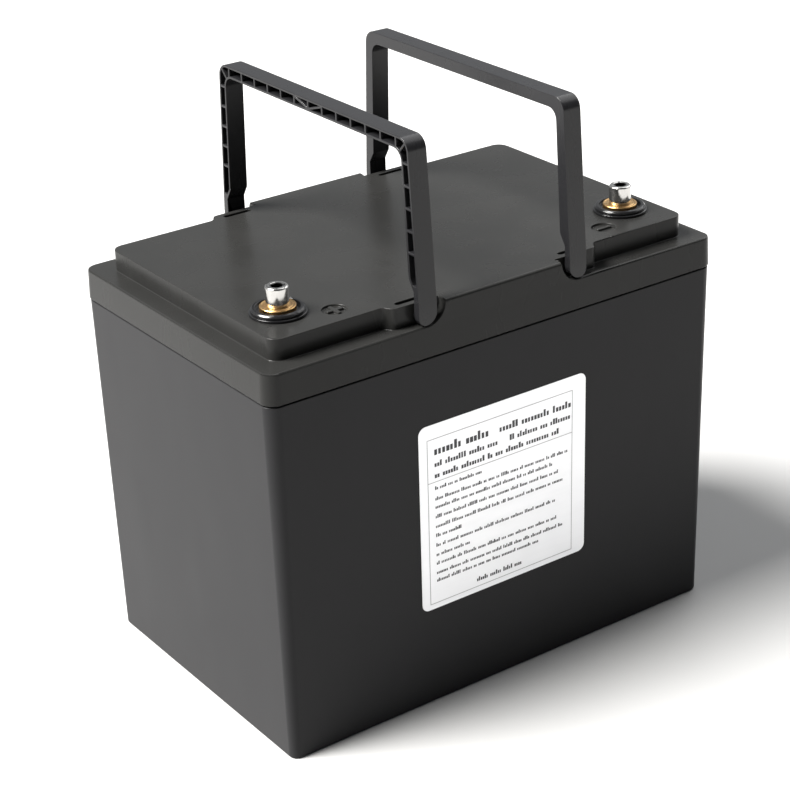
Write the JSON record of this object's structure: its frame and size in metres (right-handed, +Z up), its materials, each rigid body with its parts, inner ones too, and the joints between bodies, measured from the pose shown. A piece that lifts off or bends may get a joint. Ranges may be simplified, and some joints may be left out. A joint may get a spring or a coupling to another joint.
{
  "type": "battery pack",
  "caption": "Black rechargeable battery pack: drafted case, stepped lid, two folding bail handles, brass terminals with socket bolts and a front label.",
  "frame": {"origin": "middle of the case base, on the surface the pack stands on", "axes": "+X along the long side towards the negative terminal, +Y away from the label face, +Z up"},
  "size_m": [0.26, 0.168, 0.2868],
  "materials": {
    "shell_black": "satin",
    "handle_black": "satin",
    "collar_black": "gloss",
    "seal_black": "matte",
    "label_foil": "satin",
    "brass": "polished",
    "nickel": "polished",
    "steel": "satin",
    "cell_film": "satin",
    "cell_aluminium": "satin",
    "electrode": "matte",
    "copper": "satin",
    "epoxy_board": "satin",
    "strap_green": "satin",
    "foam_grey": "matte",
    "circuit_green": "satin",
    "component_black": "satin",
    "heat_sink_aluminium": "satin",
    "connector_white": "satin",
    "capacitor_blue": "gloss",
    "lead_red": "satin",
    "lead_black": "satin",
    "tinned_copper": "satin"
  },
  "bodies": {
    "pack": {"case_tub": "shell_black", "lid": "shell_black", "lid_seal": "seal_black", "front_label": "label_foil", "positive_collar": "collar_black", "negative_collar": "collar_black", "positive_post": "brass", "negative_post": "brass", "positive_bolt": "nickel", "negative_bolt": "nickel", "post_o_rings": "seal_black", "post_nuts": "brass", "lead_nuts": "brass", "cell_1": "cell_film", "cell_2": "cell_film", "cell_3": "cell_film", "cell_4": "cell_film", "cell_caps": "cell_aluminium", "electrode_rolls": "electrode", "cell_poles": "cell_aluminium", "cell_vents": "cell_aluminium", "cell_link_1": "copper", "cell_link_2": "copper", "cell_link_3": "copper", "pole_nuts": "steel", "cell_spacers": "epoxy_board", "stack_straps": "strap_green", "base_pad": "foam_grey", "side_pads": "foam_grey", "end_pad_foam": "foam_grey", "stack_cover": "epoxy_board", "board_standoffs": "connector_white", "circuit_board": "circuit_green", "transistors": "component_black", "heat_sink": "heat_sink_aluminium", "board_screws": "steel", "balance_socket": "connector_white", "balance_plug": "connector_white", "board_capacitors": "capacitor_blue", "positive_lead": "lead_red", "negative_cell_lead": "lead_black", "negative_output_lead": "lead_black", "lead_lugs": "tinned_copper", "balance_wires": "lead_red", "temperature_probe": "component_black"},
    "left_handle": {"handle_left": "handle_black"},
    "right_handle": {"handle_right": "handle_black"}
  },
  "joints": [
    {"name": "left_handle_hinge", "type": "hinge", "parent": "pack", "child": "left_handle", "pos_m": [-0.0445, 0, 0.2039], "axis": [0, -1, 0], "range_deg": [-27, 90]},
    {"name": "right_handle_hinge", "type": "hinge", "parent": "pack", "child": "right_handle", "pos_m": [0.0445, 0, 0.2039], "axis": [0, 1, 0], "range_deg": [-27, 90]}
  ]
}
